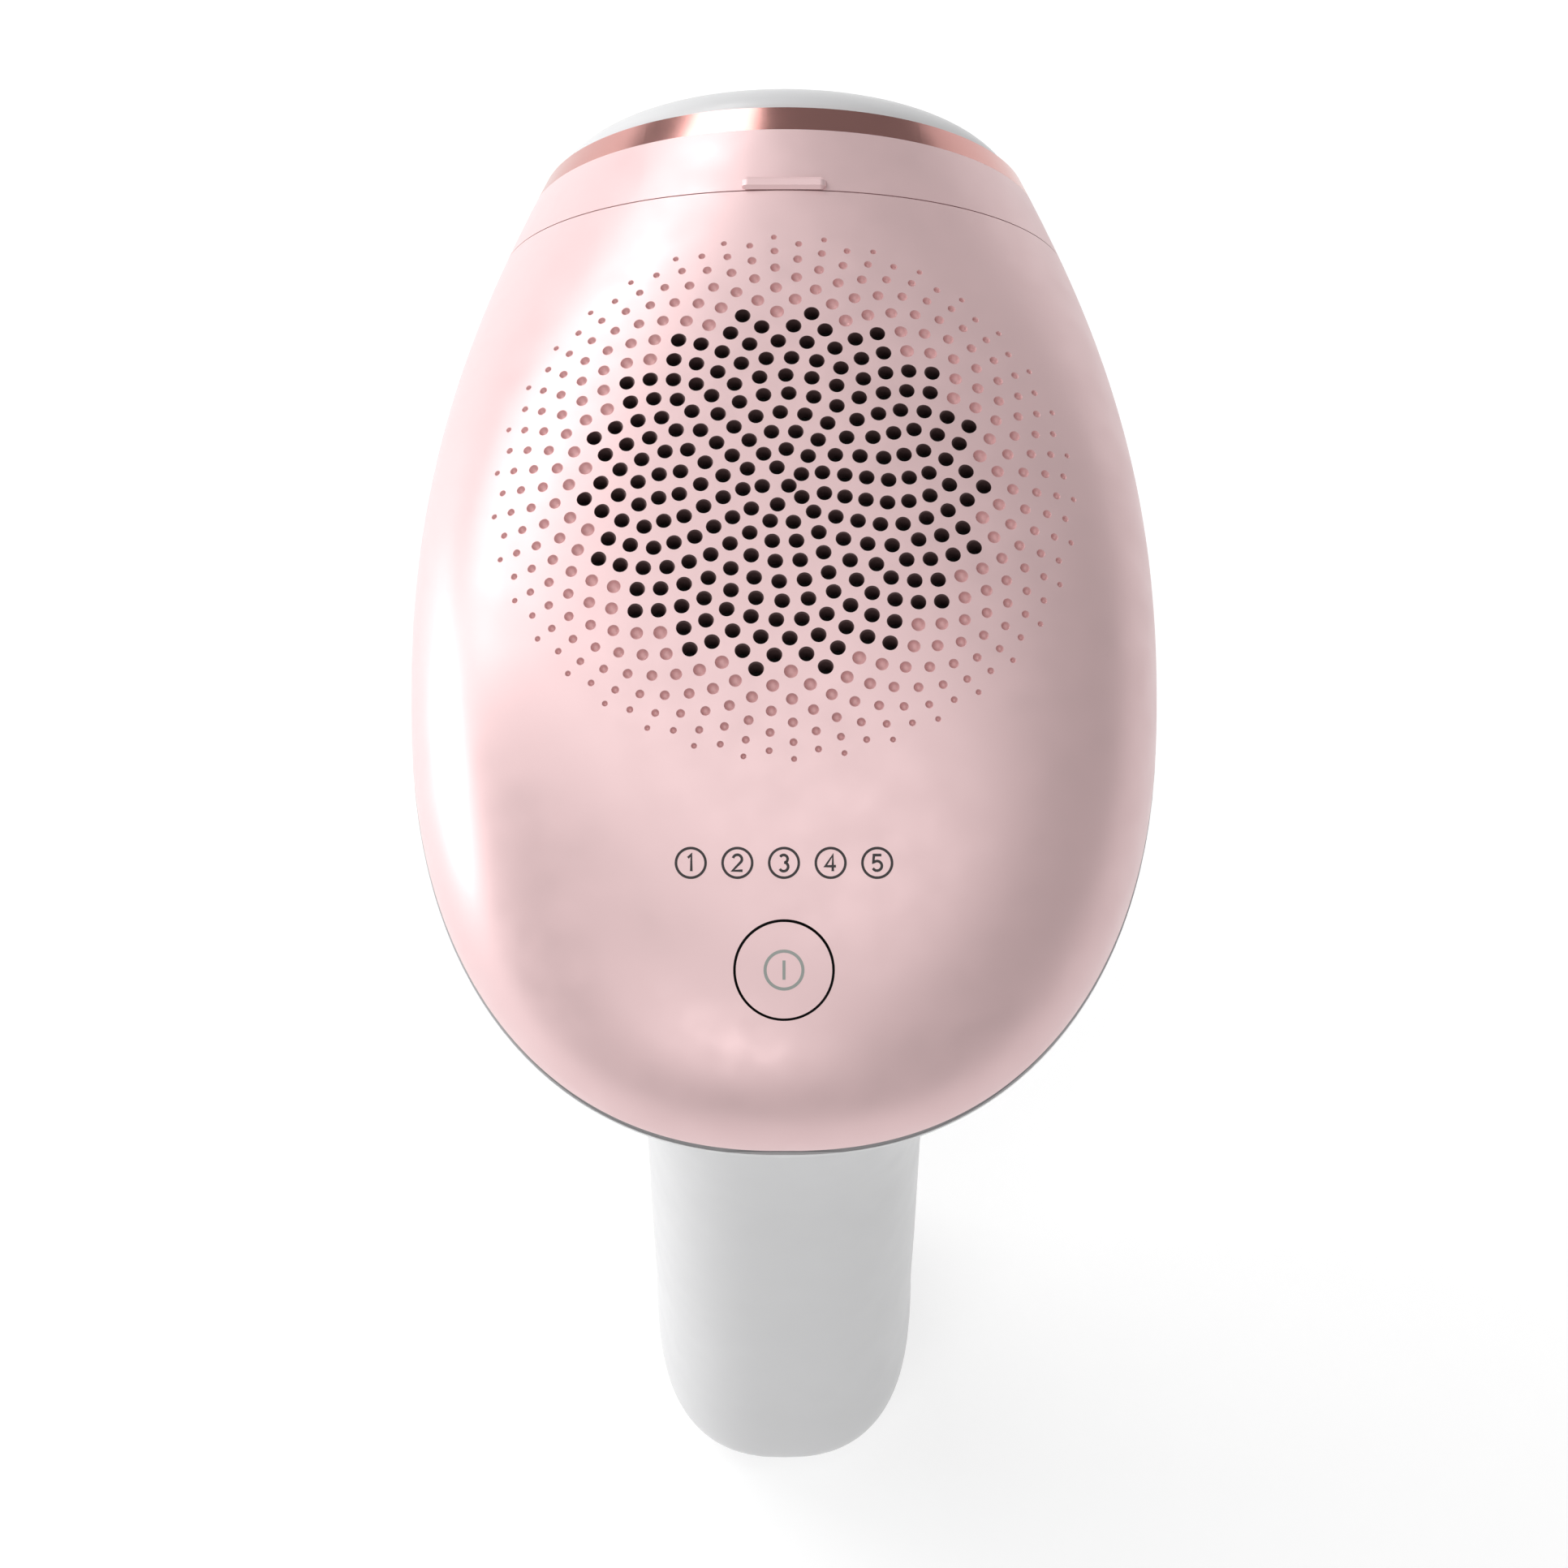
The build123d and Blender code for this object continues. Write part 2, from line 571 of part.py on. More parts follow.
# ---- Attachment ---------------------------------------------------------------------------------
def make_attachment():
    start = SEAM_REACH + ATTACH_GAP
    collar = ring_of_head(0, start, RING_REACH) - ring_of_head(WALL, start - 1, RING_REACH + 1)
    tab_z = SPLIT_Z + crown_height(start + 0.6)
    tab = Pos(0, TIP_Y + start + 0.75, tab_z - 0.25) * Box(9.6, 1.5, 1.7)
    tab = fillet(tab.edges().filter_by(Axis.Y), 0.7)
    tab = chamfer(tab.edges().filter_by(Axis.X).group_by(Axis.Z)[-1], 0.4)
    collar = collar + (tab - ring_of_head(WALL, start - 1, RING_REACH + 1))
    ring = ring_of_head(0, RING_REACH, BEZEL_REACH) - ring_of_head(2.0, RING_REACH - 1, BEZEL_REACH + 1)
    lip = [(BEZEL_REACH, 0.7), (BEZEL_REACH + 1.6, 0.75), (BEZEL_REACH + 2.8, 1.25), (FACE_REACH, 3.0)]
    bezel = Solid.make_loft([head_wire(reach, inset) for reach, inset in lip])
    bezel -= ring_of_head(3.4, BEZEL_REACH - 1, FACE_REACH - 2.2)
    sleeve = rounded_bar(WINDOW_WIDTH + 14, WINDOW_HEIGHT + 14, 4.0, 119.0, FACE_REACH - 2.2)
    sleeve -= rounded_bar(WINDOW_WIDTH + 11, WINDOW_HEIGHT + 11, 3.0, 118, FACE_REACH)
    window = rounded_bar(WINDOW_WIDTH, WINDOW_HEIGHT, 2.5, 117, FACE_REACH + 2)
    contact_slot = rounded_bar(WINDOW_WIDTH + 8, WINDOW_HEIGHT + 8, 4.5, 119, FACE_REACH + 2)
    bezel = (bezel - contact_slot) + sleeve
    inner_frame = rounded_bar(WINDOW_WIDTH + 3.2, WINDOW_HEIGHT + 3.2, 3.0, 118.9, FACE_REACH - 0.2) - window
    back = rounded_bar(WINDOW_WIDTH + 11, WINDOW_HEIGHT + 11, 3.0, 118.9, 120.0)
    inner_frame = inner_frame + (back - window)
    contact_z = SPLIT_Z + WINDOW_DROP - NOSE_HEIGHT / 2 + 3.0
    inner_frame -= block(0, TIP_Y + 119.6, contact_z, 9.6, 3.0, 2.8)
    contact = rounded_bar(
        WINDOW_WIDTH + 8 - 2 * SLIDE_GAP, WINDOW_HEIGHT + 8 - 2 * SLIDE_GAP, 4.2, 122.4,
        FACE_REACH + CONTACT_PROUD)
    contact -= rounded_bar(
        WINDOW_WIDTH + 3.2 + 2 * SLIDE_GAP, WINDOW_HEIGHT + 3.2 + 2 * SLIDE_GAP, 3.3, 120, FACE_REACH + 2)
    contact = fillet(contact.edges().group_by(Axis.Y)[-1], 0.5)
    return collar, ring, bezel, inner_frame, contact


def make_latches():
    """Two snap arms that reach from the attachment's frame past the nose."""
    arms = []
    for side in (-1, 1):
        x = side * (NOSE_WIDTH / 2 + 1.6)
        arm = block(x, TIP_Y + 116.4, SPLIT_Z + WINDOW_DROP, 1.4, 6.8, 9.0)
        hook = block(x - side * 0.75, TIP_Y + 113.6, SPLIT_Z + WINDOW_DROP, 0.5, 1.2, 7.0)
        foot = block(x - side * 0.6, TIP_Y + 119.4, SPLIT_Z + WINDOW_DROP, 2.6, 0.8, 9.0)
        arms.append(arm + hook + foot)
    return Compound(children=arms)


def make_contact_springs():
    """Four small coils that push the skin contact ring forwards."""
    springs = []
    for x in (-15.0, 15.0):
        for up in (-1, 1):
            z = SPLIT_Z + WINDOW_DROP + up * (WINDOW_HEIGHT / 2 + 2.85)
            place = Pos(x, TIP_Y + 120.1, z) * Rotation(-90, 0, 0)
            springs.append(place * coil_spring(0.75, 0.25, 2.1, 4))
    return Compound(children=springs)


def make_contacts():
    """Spring contacts on the attachment and their pads on the nose."""
    pins = []
    pads = []
    for x in (-3.0, 0.0, 3.0):
        z = SPLIT_Z + WINDOW_DROP - NOSE_HEIGHT / 2 + 3.0
        plane = Pos(x, TIP_Y + NOSE_END, z) * Rotation(-90, 0, 0)
        pads.append(plane * Cylinder(0.9, 0.2, align=ALONG_Z))
        pins.append(plane * Pos(0, 0, 0.3) * Cylinder(0.6, 0.9, align=ALONG_Z))
    bar = block(0, TIP_Y + NOSE_END + 1.7, SPLIT_Z + WINDOW_DROP - NOSE_HEIGHT / 2 + 3.0, 9.0, 1.0, 2.2)
    return Compound(children=[bar] + pins), Compound(children=pads)


def make_skin_sensor():
    """Small lens in a corner of the window, in front of the glass, which reads the skin's tone."""
    spot = Pos(-WINDOW_WIDTH / 2 + 2.4, TIP_Y + 117.2, SPLIT_Z + WINDOW_DROP) * Rotation(-90, 0, 0)
    lens = spot * Cylinder(1.5, 0.9, align=ALONG_Z)
    return fillet(lens.edges().sort_by(Axis.Y)[-1], 0.25)


# ---- Flash button -------------------------------------------------------------------------------
def make_trigger():
    front = trigger_front()
    cap = oval_bar(TRIGGER_HALF_WIDTH, TRIGGER_HALF_HEIGHT, TRIGGER_Z, front - 4.0, front + TRIGGER_PROUD)
    cap = fillet(cap.edges().sort_by(Axis.Y)[-1], 1.2)
    cap = cap - Pos(0, front + 24.6, TRIGGER_Z) * Sphere(23.6)
    flange = oval_bar(TRIGGER_HALF_WIDTH + 1.1, TRIGGER_HALF_HEIGHT + 1.1, TRIGGER_Z, front - 5.2, front - 4.0)
    stem = Pos(0, front - 5.2, TRIGGER_Z + 3) * Rotation(90, 0, 0) * Cylinder(1.4, 1.0, align=ALONG_Z)
    switch_front = front - 5.2 - 1.0 - TRIGGER_TRAVEL - 0.1
    switch = block(0, switch_front - 2.2, TRIGGER_Z + 3, 5.0, 4.4, 9.0)
    for up in (-3, 0, 3):
        switch += block(0, switch_front - 4.7, TRIGGER_Z + 3 + up, 0.6, 1.0, 1.0)
    coil = coil_spring(1.9, 0.4, 2.25, 3)
    spring = Pos(0, switch_front - 0.15, TRIGGER_Z - 5.5) * Rotation(-90, 0, 0) * coil
    carrier = block(0, switch_front - 1.2, TRIGGER_Z - 5.5, 6.0, 1.6, 5.0)
    return cap + flange + stem, switch, spring, carrier


# ---- Handle's contents --------------------------------------------------------------------------
def handle_frame():
    """Plane at the origin whose normal runs up the handle's axis."""
    return Plane(origin=(0, 0, 0), x_dir=(1, 0, 0), z_dir=(0, HANDLE_SWEEP, 1))


def make_capacitor():
    axis = handle_frame()
    can = disc(axis, CAP_RADIUS, CAP_BOTTOM, CAP_BOTTOM + CAP_LENGTH, 0, CAP_Y)
    can = fillet(can.edges().group_by(Axis.Z)[-1], 1.0)
    groove = disc(axis, CAP_RADIUS + 1, CAP_BOTTOM + 4, CAP_BOTTOM + 5.2, 0, CAP_Y)
    groove -= disc(axis, CAP_RADIUS - 0.5, CAP_BOTTOM + 3, CAP_BOTTOM + 7, 0, CAP_Y)
    can -= groove
    bung = disc(axis, CAP_RADIUS - 1.5, CAP_BOTTOM - 1.2, CAP_BOTTOM, 0, CAP_Y)
    leads = []
    for x in (-3.75, 3.75):
        leads.append(disc(axis, 0.5, CAP_BOTTOM - 5, CAP_BOTTOM - 1.2, x, CAP_Y))
    low, high = CAP_BOTTOM + 22, CAP_BOTTOM + 31
    clamp = disc(axis, CAP_RADIUS + 1.2, low, high, 0, CAP_Y)
    clamp -= disc(axis, CAP_RADIUS, low - 1, high + 1, 0, CAP_Y)
    gap = axis.location * block(0, CAP_Y + CAP_RADIUS, (low + high) / 2, 4.0, 4.0, 12)
    clamp -= gap
    return can, bung, Compound(children=leads), clamp


def make_inlet():
    body = Cylinder(INLET_RADIUS, INLET_LENGTH, align=ALONG_Z)
    body += Pos(0, 0, INLET_LENGTH) * Cylinder(INLET_RADIUS - 1.2, 3.0, align=ALONG_Z)
    body += Pos(0, 0, 4.2) * Cylinder(INLET_RADIUS + 1.6, 1.6, align=ALONG_Z)
    body -= Pos(0, 0, -1) * Cylinder(RECESS_RADIUS, RECESS_DEPTH + 1, align=ALONG_Z)
    body -= Pos(0, 0, 0) * Cylinder(SOCKET_RADIUS, RECESS_DEPTH + SOCKET_DEPTH - 3, align=ALONG_Z)
    pin = Pos(0, 0, RECESS_DEPTH + 1) * Cylinder(1.0, SOCKET_DEPTH - 4, align=ALONG_Z)
    pin = fillet(pin.edges().sort_by(Axis.Z)[0], 0.6)
    tags = []
    for x in (-2.2, 2.2):
        tags.append(block(x, 0, INLET_LENGTH + 4.2, 1.6, 0.5, 2.4))
    return body, pin, Compound(children=tags)


def wire_run(points, radius):
    """Insulated wire along straight runs joined by arcs."""
    path = FilletPolyline(*points, radius=3.0)
    profile = Plane(origin=path @ 0, z_dir=path % 0) * Circle(radius)
    return sweep(profile, path)


def make_wires():
    """Inlet wires up the handle, lamp leads and the fan's lead."""
    low = []
    for side in (-1, 1):
        x = side * 9.0
        turns = [(x, 8.0, 24), (x, 9.8, 40), (x, 13.0, 62), (x, 14.0, 100)]
        low.append(wire_run([(side * 2.2, 1.4, 18.6)] + turns, 0.6))
    lamp = []
    mid = SPLIT_Z + WINDOW_DROP
    for side in (-1, 1):
        x = side * 24.8
        start = (x, TIP_Y + 104.7, mid)
        end = (side * 14.0, TIP_Y + 97.2, SPLIT_Z - 7.0)
        lamp.append(wire_run([start, (x, TIP_Y + 99.6, mid + 0.5), end], 0.7))
    return Compound(children=low), Compound(children=lamp)


# ---- Electronics in the head --------------------------------------------------------------------
BOARD_Z = -4.5           # top of the main board from the rim's height
BOARD_START, BOARD_END = 38.0, 97.0
BOARD_HALF_WIDTH = 25.0


def head_spot(x, reach, height):
    """A point given by reach and by height above the rim's height at the rear."""
    return Pos(x, TIP_Y + reach, SPLIT_Z + height)


def make_main_board():
    middle = (BOARD_START + BOARD_END) / 2
    length = BOARD_END - BOARD_START
    board = head_spot(0, middle, BOARD_Z - BOARD_THICK / 2) * Box(2 * BOARD_HALF_WIDTH, length, BOARD_THICK)
    for x in (-21.5, 21.5):
        for reach in (BOARD_START + 4, BOARD_END - 4):
            board -= head_spot(x, reach, BOARD_Z - 4) * Cylinder(1.3, 8, align=ALONG_Z)
    under = BOARD_Z - BOARD_THICK
    core = head_spot(-10, 80, under - 7) * Box(17, 19, 14)
    core -= head_spot(-10, 80, under - 7) * Box(9, 30, 9)
    winding = head_spot(-10, 80, under - 7) * Box(8.6, 15, 8.6)
    winding = fillet(winding.edges().filter_by(Axis.Y), 2.0)
    choke = head_spot(13, 84, under - 4.2) * Torus(5.2, 2.6)
    choke_base = head_spot(13, 84, under) * Pos(0, 0, -1.5) * Cylinder(4.8, 1.5, align=ALONG_Z)
    sink = head_spot(16, 66, under - 6.5) * Box(14, 3.0, 13)
    for i in range(5):
        sink += head_spot(10.5 + 2.75 * i, 69.5, under - 6.5) * Box(1.1, 4.0, 13)
    switch = head_spot(16, 63.3, under - 6.5) * Box(10, 2.4, 9)
    film = head_spot(-14, 60, under - 5) * Box(12, 7, 10)
    film = fillet(film.edges(), 0.8)
    chips = []
    top = BOARD_Z
    for x, reach, width, depth in ((-12, 52, 9, 9), (8, 56, 6, 5), (12, 78, 5, 8), (-10, 86, 7, 5), (2, 68, 4, 4)):
        chips.append(head_spot(x, reach, top + 0.6) * Box(width, depth, 1.2))
    parts = {
        "main_board": board,
        "transformer_core": core,
        "transformer_winding": winding,
        "choke": choke + choke_base,
        "switch_heat_sink": sink,
        "power_transistor": switch,
        "film_capacitor": film,
        "board_chips": Compound(children=chips),
    }
    return parts


def make_board_screws():
    screws = []
    for x in (-21.5, 21.5):
        for reach in (BOARD_START + 4, BOARD_END - 4):
            spot = head_spot(x, reach, BOARD_Z)
            screws.append(spot * screw(5.0, radius=1.1, head=2.0, head_height=1.2))
    return Compound(children=screws)


def make_chassis():
    """Inner frame that holds the fan and the boards and sits on the shells."""
    base = -FAN_DEPTH - FAN_HEIGHT
    plate = disc(VENT, 40.0, base - 1.8, base) - disc(VENT, FAN_BORE_RADIUS, base - 3, base + 1)
    ends = head_spot(0, 71.5, 0) * Box(90, 57, 60)
    plate = (plate & ends) & dome_solid(WALL + 0.3, 12.0)
    for i in range(3):
        angle = math.radians(120 * i + 30)
        plate -= disc(VENT, 1.02, base - 3, base + 1, 27.2 * math.cos(angle), 27.2 * math.sin(angle))
    return plate


def make_standoffs():
    """Pillars between the main board and the front shell's floor."""
    under = BOARD_Z - BOARD_THICK
    floor = bowl_solid(WALL)
    pillars = []
    for x in (-21.5, 21.5):
        for reach in (BOARD_START + 4, BOARD_END - 4):
            pillar = head_spot(x, reach, under - 30) * Cylinder(2.4, 30, align=ALONG_Z)
            hole = head_spot(x, reach, under - 4.2) * Cylinder(1.1, 5, align=ALONG_Z)
            pillars.append((pillar & floor) - hole)
    return pillars


def make_dust_mesh():
    """Dark mesh behind the vent, against the top shell's inner face."""
    sheet = dome_solid(WALL + 0.1) - dome_solid(WALL + 0.5, 3.0)
    return sheet & disc(VENT, 27.0, -12, 4)


def save(name, solid):
    """Writes one piece, named after its file."""
    solid.label = name
    export_step(solid, f"parts/{name}.step")


def main():
    os.makedirs("parts", exist_ok=True)
    pieces = {}
    pieces["top_shell"] = make_top_shell()
    pieces["split_gasket"] = make_gasket()
    rear, front = make_handle_shells()
    pieces["handle_rear_shell"] = rear
    pieces["handle_front_shell"] = cut_front_shell(front)
    cap, plunger, spring, tact = make_button_parts()
    pieces["power_button_cap"] = cap
    pieces["power_button_plunger"] = plunger
    pieces["power_button_spring"] = spring
    pieces["power_tact_switch"] = tact
    pieces["control_board"] = make_control_board()
    pieces["intensity_leds"], pieces["light_guide"] = make_intensity_lights()
    pieces["dust_mesh"] = make_dust_mesh()
    pieces["fan_frame"] = make_fan_frame()
    pieces["fan_stator"] = make_fan_stator()
    pieces["fan_rotor"], pieces["fan_shaft"] = make_fan_rotor()
    pieces["fan_screws"] = make_fan_screws()
    pieces["chassis"] = make_chassis()
    glass, seal, trough, tube, electrodes, holders, wire = make_lamp()
    pieces["light_filter_glass"] = glass
    pieces["window_seal"] = seal
    pieces["reflector"] = trough
    pieces["flash_tube"] = tube
    pieces["tube_electrodes"] = electrodes
    pieces["tube_holders"] = holders
    pieces["trigger_wire"] = Compound(children=wire)
    pieces["window_frame"] = make_window_frame()
    pieces["nose_screws"] = make_nose_screws()
    collar, ring, bezel, inner_frame, contact = make_attachment()
    pieces["attachment_collar"] = collar
    pieces["attachment_trim_ring"] = ring
    pieces["attachment_bezel"] = bezel
    pieces["attachment_inner_frame"] = inner_frame
    pieces["attachment_latches"] = make_latches()
    pieces["attachment_contacts"], pieces["nose_contact_pads"] = make_contacts()
    pieces["skin_contact_ring"] = contact
    pieces["contact_ring_springs"] = make_contact_springs()
    pieces["skin_tone_sensor"] = make_skin_sensor()
    button, microswitch, button_spring, carrier = make_trigger()
    pieces["flash_button"] = button
    pieces["flash_microswitch"] = microswitch
    pieces["flash_button_spring"] = button_spring
    pieces["spring_seat"] = carrier
    can, bung, leads, clamp = make_capacitor()
    pieces["storage_capacitor"] = can
    pieces["capacitor_bung"] = bung
    pieces["capacitor_leads"] = leads
    pieces["capacitor_clamp"] = clamp
    pieces["power_inlet"], pieces["inlet_pin"], pieces["inlet_tags"] = make_inlet()
    pieces["inlet_wires"], pieces["lamp_leads"] = make_wires()
    pieces.update(make_main_board())
    pieces["board_standoffs"] = Compound(children=make_standoffs())
    pieces["board_screws"] = make_board_screws()
    for name, solid in pieces.items():
        save(name, solid)


main()
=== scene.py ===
"""Looks of the pulsed-light hair remover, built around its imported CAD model.

Metres, in the CAD frame: the handle stands on the origin along +Z, the treatment window faces +Y.
The head's form is worked out in millimetres by the same few curves as the part, then scaled.
"""
import json
import math

import bmesh
import bpy
import numpy as np
from mathutils import Matrix, Vector


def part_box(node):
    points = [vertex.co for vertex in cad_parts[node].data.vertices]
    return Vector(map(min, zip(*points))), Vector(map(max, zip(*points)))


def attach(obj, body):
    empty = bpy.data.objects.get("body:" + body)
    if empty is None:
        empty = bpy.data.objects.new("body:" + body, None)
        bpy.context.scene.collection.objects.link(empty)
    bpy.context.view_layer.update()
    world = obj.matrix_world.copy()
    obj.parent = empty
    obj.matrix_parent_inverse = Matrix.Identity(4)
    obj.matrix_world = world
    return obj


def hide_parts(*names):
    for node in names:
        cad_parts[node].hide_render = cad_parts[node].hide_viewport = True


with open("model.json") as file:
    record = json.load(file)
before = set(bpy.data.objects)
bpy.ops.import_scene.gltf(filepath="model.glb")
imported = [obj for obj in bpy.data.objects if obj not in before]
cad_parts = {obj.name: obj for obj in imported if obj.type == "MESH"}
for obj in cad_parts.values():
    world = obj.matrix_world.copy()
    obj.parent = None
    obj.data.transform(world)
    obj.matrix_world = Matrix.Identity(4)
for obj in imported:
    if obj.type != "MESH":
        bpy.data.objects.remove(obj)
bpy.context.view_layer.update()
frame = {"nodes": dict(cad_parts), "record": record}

MM = 0.001
LOW, HIGH = (Vector(corner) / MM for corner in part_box("top_shell"))
TIP_Y = LOW.y                       # rear tip of the head's rim
SEAM_REACH = HIGH.y - LOW.y         # where the attachment meets the head
CROWN_HEIGHT = 22.5
SPLIT_Z = HIGH.z - CROWN_HEIGHT     # height of the rim
HEAD_HALF_WIDTH = 42.1
WIDEST_REACH = 55.0
REAR_POWER = 2.3
FRONT_LENGTH = 101.5
FRONT_POWER = 2.12
CROWN_REACH = 57.0
CROWN_FALL = 0.00225
RIM_FALL = 0.0047
RIM_FLAT_REACH = 69.0
DOME_POWER = 2.0
DOME_FULLNESS = 0.8
DOME_LENGTH = 120.0
VIEW_SLOPE = 0.404
WALL = 2.2

VENT_REACH = 71.7
VENT_TILT = math.radians(5.7)
CORE_RINGS = [(1, 0.55), (5, 2.45), (11, 4.65), (16, 7.0), (21, 9.4), (26, 11.85), (30, 14.2)]
CORE_TWIST = 1.9
OUTER_RING_COUNT = 12
OUTER_RING_HOLES = 36
FIRST_OUTER_RADIUS = 16.5
FIRST_OUTER_STEP = 2.2
STEP_SHRINK = 0.915
THROUGH_RINGS = 3
HOLE_RADIUS = 0.78
DIMPLE_SHRINK = 0.057

BUTTON_REACH = 15.7
BUTTON_TILT = math.radians(-22.0)
BUTTON_RADIUS = 5.4
BUTTON_GAP = 0.3
LIGHT_COUNT = 5
LIGHT_PITCH = 5.22
LIGHT_OFFSET = 12.0
CIRCLE_RADIUS = 1.66     # round each numeral, to the middle of its line
CIRCLE_STROKE = 0.29
DIGIT_SIZE = 1.86
DIGIT_STROKE = 0.3
ICON_RADIUS = 2.12
ICON_STROKE = 0.35
BAR_HALF = 1.08
BAR_STROKE = 0.34
SHELL_ROWS, SHELL_COUNT = 120, 121


# ---- Curves of the head, in millimetres -----------------------------------------------------------
def rim_height(reach):
    return -RIM_FALL * np.maximum(0.0, reach - RIM_FLAT_REACH) ** 2


def half_width(reach):
    level = reach + VIEW_SLOPE * rim_height(reach)
    behind = np.clip((WIDEST_REACH - level) / WIDEST_REACH, 0, 1) ** REAR_POWER
    ahead = (np.maximum(0.0, level - WIDEST_REACH) / FRONT_LENGTH) ** FRONT_POWER
    return HEAD_HALF_WIDTH * np.maximum(1 - behind, 0) ** (1 / REAR_POWER) * (1 - ahead)


def crown_height(reach):
    behind = np.clip((CROWN_REACH - reach) / CROWN_REACH, 0, 1)
    ahead = CROWN_FALL * np.maximum(0.0, reach - CROWN_REACH) ** 2
    return CROWN_HEIGHT * np.sqrt(1 - behind ** 2) - ahead


def dome_power(reach):
    return DOME_POWER + DOME_FULLNESS * np.sin(math.pi * reach / DOME_LENGTH) ** 2


def dome_level(points):
    """Field that is 1 on the dome's outer face, more outside and less inside; points are (n, 3)."""
    reach = np.clip(points[:, 1] - TIP_Y, 0.01, None)
    rim = rim_height(reach)
    power = dome_power(reach)
    across = np.abs(points[:, 0]) / half_width(reach)
    upward = np.maximum(points[:, 2] - SPLIT_Z - rim, 0) / (crown_height(reach) - rim)
    return (across ** power + upward ** power) ** (1 / power)


def dome_normals(points):
    """Outward unit normals of the dome's field."""
    step = 0.01
    slopes = []
    for axis in range(3):
        shift = np.zeros(3)
        shift[axis] = step
        slopes.append(dome_level(points + shift) - dome_level(points - shift))
    normals = np.stack(slopes, axis=1)
    return normals / np.maximum(np.linalg.norm(normals, axis=1, keepdims=True), 1e-9)


def dome_frame(reach, lean):
    """Matrix, in millimetres, whose Z is the dome's leaning normal at its centre line."""
    origin = Vector((0, TIP_Y + reach, SPLIT_Z + float(crown_height(reach))))
    return Matrix.Translation(origin) @ Matrix.Rotation(-lean, 4, "X")


VENT = dome_frame(VENT_REACH, VENT_TILT)
BUTTON = dome_frame(BUTTON_REACH, BUTTON_TILT)


def on_dome(place, x, y):
    """Point of the dome's outer face on the line through (x, y) along a frame's Z axis."""
    low, high = -20.0, 8.0
    for _ in range(40):
        middle = (low + high) / 2
        point = place @ Vector((x, y, middle))
        if dome_level(np.array([point]))[0] < 1:
            low = middle
        else:
            high = middle
    return place @ Vector((x, y, low))


# ---- Mesh helpers -----------------------------------------------------------------------------------
def make_object(name, points, faces, materials=(), slots=None):
    """New object from points in millimetres."""
    mesh = bpy.data.meshes.new(name)
    mesh.from_pydata([tuple(c * MM for c in p) for p in points], [], faces)
    for material in materials:
        mesh.materials.append(material)
    if slots is not None:
        mesh.polygons.foreach_set("material_index", slots)
    mesh.update()
    obj = bpy.data.objects.new(name, mesh)
    bpy.context.scene.collection.objects.link(obj)
    return obj


def lathe(points, faces, slots, place, profile, slot, count):
    """Adds a closed turned form: profile is (radius, height) from top to bottom, ends on the axis."""
    first = len(points)
    points.append(place @ Vector((0, 0, profile[0][1])))
    for radius, height in profile[1:-1]:
        for i in range(count):
            turn = 2 * math.pi * i / count
            points.append(place @ Vector((radius * math.cos(turn), radius * math.sin(turn), height)))
    points.append(place @ Vector((0, 0, profile[-1][1])))
    last = len(points) - 1
    rings = len(profile) - 2
    for i in range(count):
        j = (i + 1) % count
        faces.append((first, first + 1 + i, first + 1 + j))
        slots.append(slot)
        for ring in range(rings - 1):
            a = first + 1 + ring * count
            faces.append((a + i, a + count + i, a + count + j, a + j))
            slots.append(slot)
        a = first + 1 + (rings - 1) * count
        faces.append((a + i, last, a + j))
        slots.append(slot)


def upright(point, normal):
    """Matrix at a point whose Z is a normal."""
    return Matrix.Translation(point) @ Vector((0, 0, 1)).rotation_difference(normal).to_matrix().to_4x4()


# ---- Top shell with its vent ------------------------------------------------------------------------
def arch(reach, inset, count):
    """Half section of the dome from rim to rim, thinned by inset."""
    rim = float(rim_height(reach))
    width = float(half_width(reach)) - inset
    height = float(crown_height(reach)) - rim - inset
    power = float(dome_power(reach))
    row = []
    for j in range(count):
        turn = math.pi * j / (count - 1)
        across, upward = abs(math.cos(turn)), abs(math.sin(turn))
        size = ((across / width) ** power + (upward / height) ** power) ** (-1 / power)
        row.append((size * math.cos(turn), TIP_Y + reach, SPLIT_Z + rim + size * math.sin(turn)))
    return row


def shell_rows(inset, rows, count, end):
    """Rows of the dome, closer together towards the rear tip."""
    start = 0.02 + inset * 1.1
    grid = []
    for i in range(rows):
        share = i / (rows - 1)
        reach = start + (end - start) * share ** 1.9 if share < 1 else end
        grid.append(arch(reach, inset, count))
    return grid


def vent_sites():
    """Radius, angle, through or blind, and size of each hole of the vent."""
    sites = []
    for ring, (count, radius) in enumerate(CORE_RINGS):
        for i in range(count):
            sites.append((radius, 2 * math.pi * i / count + CORE_TWIST * ring, True, HOLE_RADIUS))
    radius = FIRST_OUTER_RADIUS
    step = FIRST_OUTER_STEP
    for ring in range(OUTER_RING_COUNT):
        phase = math.radians(7 if ring % 2 == 0 else 2)
        for i in range(OUTER_RING_HOLES):
            through = ring < THROUGH_RINGS or (ring == THROUGH_RINGS and i % 2 == 0)
            size = HOLE_RADIUS - DIMPLE_SHRINK * max(0, ring - THROUGH_RINGS)
            sites.append((radius, 2 * math.pi * i / OUTER_RING_HOLES + phase, through, size))
        radius += step
        step *= STEP_SHRINK
    return sites


